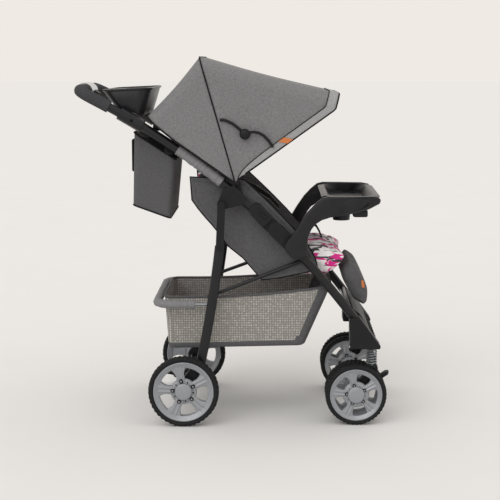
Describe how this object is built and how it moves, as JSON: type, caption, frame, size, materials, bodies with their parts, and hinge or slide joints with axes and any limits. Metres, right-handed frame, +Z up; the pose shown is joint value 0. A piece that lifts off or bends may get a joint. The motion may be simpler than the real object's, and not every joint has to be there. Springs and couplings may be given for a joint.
{
  "type": "baby stroller",
  "caption": "Folding child's pushchair with a curved one-line side frame, fan canopy, front and rear trays, sprung twin swivel wheels and a mesh basket",
  "frame": {"origin": "on the floor under the middle of the stroller's overall length and width", "axes": "+X is the way it rolls forward, +Y is its left side, +Z is up"},
  "size_m": [0.8508, 0.518, 0.982],
  "materials": {
    "grey_tube": "semi-gloss",
    "black_plastic": "matte",
    "gloss_black": "glossy",
    "foam": "soft foam",
    "silver": "satin chrome",
    "alloy_plastic": "silver-grey lacquer",
    "tyre": "matte",
    "steel": "plated",
    "black_metal": "black powder coat",
    "canopy_cloth": "grey melange weave",
    "dark_cloth": "dark grey weave",
    "grey_cloth": "mid grey weave",
    "seat_print": "white with pink and grey brush strokes",
    "mesh_cloth": "mesh sides, dark floor",
    "webbing": "woven webbing"
  },
  "bodies": {
    "front_frame": {"front_leg_left": "grey_tube", "front_leg_right": "grey_tube", "front_crossbar": "black_metal", "footplate": "black_plastic", "front_bracket_left": "black_plastic", "front_bracket_right": "black_plastic", "fold_joint_lower": "black_plastic", "seat_tube": "black_metal", "seat_cushion": "seat_print", "seat_side_left": "dark_cloth", "seat_side_right": "dark_cloth", "basket": "mesh_cloth", "crotch_strap": "webbing"},
    "handle_frame": {"handle_tube": "grey_tube", "grip_left": "foam", "grip_right": "foam", "release_housing": "silver", "parent_tray": "gloss_black", "fold_joint_upper": "black_plastic", "leg_brackets": "black_metal", "storage_bag": "dark_cloth", "tube_sleeves": "grey_cloth", "canopy_clips": "black_plastic", "canopy_rear_panel": "canopy_cloth"},
    "release": {"release_button": "black_plastic"},
    "latches": {"fold_latches": "black_plastic"},
    "rear_frame": {"rear_leg_left": "grey_tube", "rear_leg_right": "grey_tube", "leg_links": "black_metal", "rear_axle": "black_metal", "rear_wheel_boots": "black_plastic", "basket_hoop": "steel", "basket_hoop_sleeve": "grey_cloth"},
    "brake": {"brake_pedal": "black_plastic"},
    "seat_bar_pair": {"seat_bars": "black_metal"},
    "middle_bow": {"canopy_middle_bow": "black_metal"},
    "front_bow": {"canopy_front_bow": "black_metal", "canopy_front_panel": "canopy_cloth"},
    "rear_stays": {"canopy_stay_rear": "black_plastic"},
    "front_stays": {"canopy_stay_front": "black_plastic"},
    "tray": {"child_tray": "gloss_black"},
    "calf_rest": {"footrest": "grey_cloth"},
    "seat_back": {"backrest": "seat_print"},
    "rear_wheel_left": {"rear_tyre_left": "tyre", "rear_rim_left": "alloy_plastic"},
    "caster_left": {"caster_stem_left": "steel", "caster_spring_left": "steel"},
    "fork_left": {"caster_fork_left": "black_plastic"},
    "front_wheels_left": {"front_tyres_left": "tyre", "front_rims_left": "alloy_plastic"},
    "swivel_lock_left": {"swivel_lock_left": "black_plastic"},
    "rear_wheel_right": {"rear_tyre_right": "tyre", "rear_rim_right": "alloy_plastic"},
    "caster_right": {"caster_stem_right": "steel", "caster_spring_right": "steel"},
    "fork_right": {"caster_fork_right": "black_plastic"},
    "front_wheels_right": {"front_tyres_right": "tyre", "front_rims_right": "alloy_plastic"},
    "swivel_lock_right": {"swivel_lock_right": "black_plastic"}
  },
  "joints": [
    {"name": "frame_fold", "type": "hinge", "parent": "front_frame", "child": "handle_frame", "pos_m": [0.116, 0, 0.527], "axis": [0, -1, 0], "range_deg": [0, 80], "deforming": ["basket"]},
    {"name": "rear_leg_pivot", "type": "hinge", "parent": "handle_frame", "child": "rear_frame", "pos_m": [-0.026, 0, 0.593], "axis": [0, 1, 0], "range_deg": [0, 46.08]},
    {"name": "seat_bar_pivot", "type": "hinge", "parent": "front_frame", "child": "seat_bar_pair", "pos_m": [0.19848, 0, 0.44263], "axis": [0, -1, 0], "range_deg": [0, 56.62]},
    {"name": "canopy_fold", "type": "hinge", "parent": "handle_frame", "child": "middle_bow", "pos_m": [0.014, 0, 0.655], "axis": [0, -1, 0], "range_deg": [0, 25], "deforming": ["canopy_rear_panel", "canopy_front_panel"]},
    {"name": "front_bow_pivot", "type": "hinge", "parent": "middle_bow", "child": "front_bow", "pos_m": [0.014, 0, 0.655], "axis": [0, -1, 0], "range_deg": [0, 55.05], "deforming": ["canopy_front_panel"]},
    {"name": "rear_stay_pivot", "type": "hinge", "parent": "middle_bow", "child": "rear_stays", "pos_m": [-0.03, 0, 0.818], "axis": [0, -1, 0], "range_deg": [0, 59.95]},
    {"name": "front_stay_pivot", "type": "hinge", "parent": "front_bow", "child": "front_stays", "pos_m": [0.11, 0, 0.747], "axis": [0, 1, 0], "range_deg": [0, 151]},
    {"name": "child_tray_hinge", "type": "hinge", "parent": "front_frame", "child": "tray", "pos_m": [0.184, 0, 0.466], "axis": [0, -1, 0], "range_deg": [0, 45]},
    {"name": "footrest_hinge", "type": "hinge", "parent": "front_frame", "child": "calf_rest", "pos_m": [0.324, 0, 0.432], "axis": [0, -1, 0], "range_deg": [0, 35]},
    {"name": "backrest_hinge", "type": "hinge", "parent": "front_frame", "child": "seat_back", "pos_m": [0.092, 0, 0.404], "axis": [0, 1, 0], "range_deg": [0, 20]},
    {"name": "brake_hinge", "type": "hinge", "parent": "rear_frame", "child": "brake", "pos_m": [-0.128, 0, 0.095], "axis": [0, -1, 0], "range_deg": [0, 18]},
    {"name": "release_slide", "type": "slide", "parent": "handle_frame", "child": "release", "axis": [-0.8881, 0, 0.4597], "range_m": [0, 0.008], "stiffness_N_per_m": 400},
    {"name": "latch_slide", "type": "slide", "parent": "handle_frame", "child": "latches", "axis": [-0.7193, 0, 0.6947], "range_m": [0, 0.0081]},
    {"name": "rear_spin_left", "type": "hinge", "parent": "rear_frame", "child": "rear_wheel_left", "pos_m": [-0.128, 0.242, 0.095], "axis": [0, 1, 0], "continuous": true},
    {"name": "swivel_left", "type": "hinge", "parent": "front_frame", "child": "caster_left", "pos_m": [0.378, 0.19, 0.207], "axis": [0, 0, 1], "continuous": true},
    {"name": "suspension_left", "type": "slide", "parent": "caster_left", "child": "fork_left", "axis": [0, 0, 1], "range_m": [0, 0.008], "stiffness_N_per_m": 9000, "springref_m": -0.004, "deforming": ["caster_spring_left"]},
    {"name": "front_spin_left", "type": "hinge", "parent": "fork_left", "child": "front_wheels_left", "pos_m": [0.335, 0.19, 0.0825], "axis": [0, 1, 0], "continuous": true},
    {"name": "lock_hinge_left", "type": "hinge", "parent": "fork_left", "child": "swivel_lock_left", "pos_m": [0.4027, 0.19, 0.126], "axis": [0, -1, 0], "range_deg": [0, 25]},
    {"name": "rear_spin_right", "type": "hinge", "parent": "rear_frame", "child": "rear_wheel_right", "pos_m": [-0.128, -0.242, 0.095], "axis": [0, 1, 0], "continuous": true},
    {"name": "swivel_right", "type": "hinge", "parent": "front_frame", "child": "caster_right", "pos_m": [0.378, -0.19, 0.207], "axis": [0, 0, 1], "continuous": true},
    {"name": "suspension_right", "type": "slide", "parent": "caster_right", "child": "fork_right", "axis": [0, 0, 1], "range_m": [0, 0.008], "stiffness_N_per_m": 9000, "springref_m": -0.004, "deforming": ["caster_spring_right"]},
    {"name": "front_spin_right", "type": "hinge", "parent": "fork_right", "child": "front_wheels_right", "pos_m": [0.335, -0.19, 0.0825], "axis": [0, 1, 0], "continuous": true},
    {"name": "lock_hinge_right", "type": "hinge", "parent": "fork_right", "child": "swivel_lock_right", "pos_m": [0.4027, -0.19, 0.126], "axis": [0, -1, 0], "range_deg": [0, 25]}
  ],
  "couplings": [
    {"joint": "rear_leg_pivot", "follows": "frame_fold", "ratio": 0.57532},
    {"joint": "seat_bar_pivot", "follows": "frame_fold", "ratio": 0.70716},
    {"joint": "front_bow_pivot", "follows": "canopy_fold", "ratio": 2.2},
    {"joint": "rear_stay_pivot", "follows": "canopy_fold", "ratio": 2.3952},
    {"joint": "front_stay_pivot", "follows": "canopy_fold", "ratio": 6.0358},
    {"joint": "latch_slide", "follows": "release_slide", "ratio": 1}
  ]
}
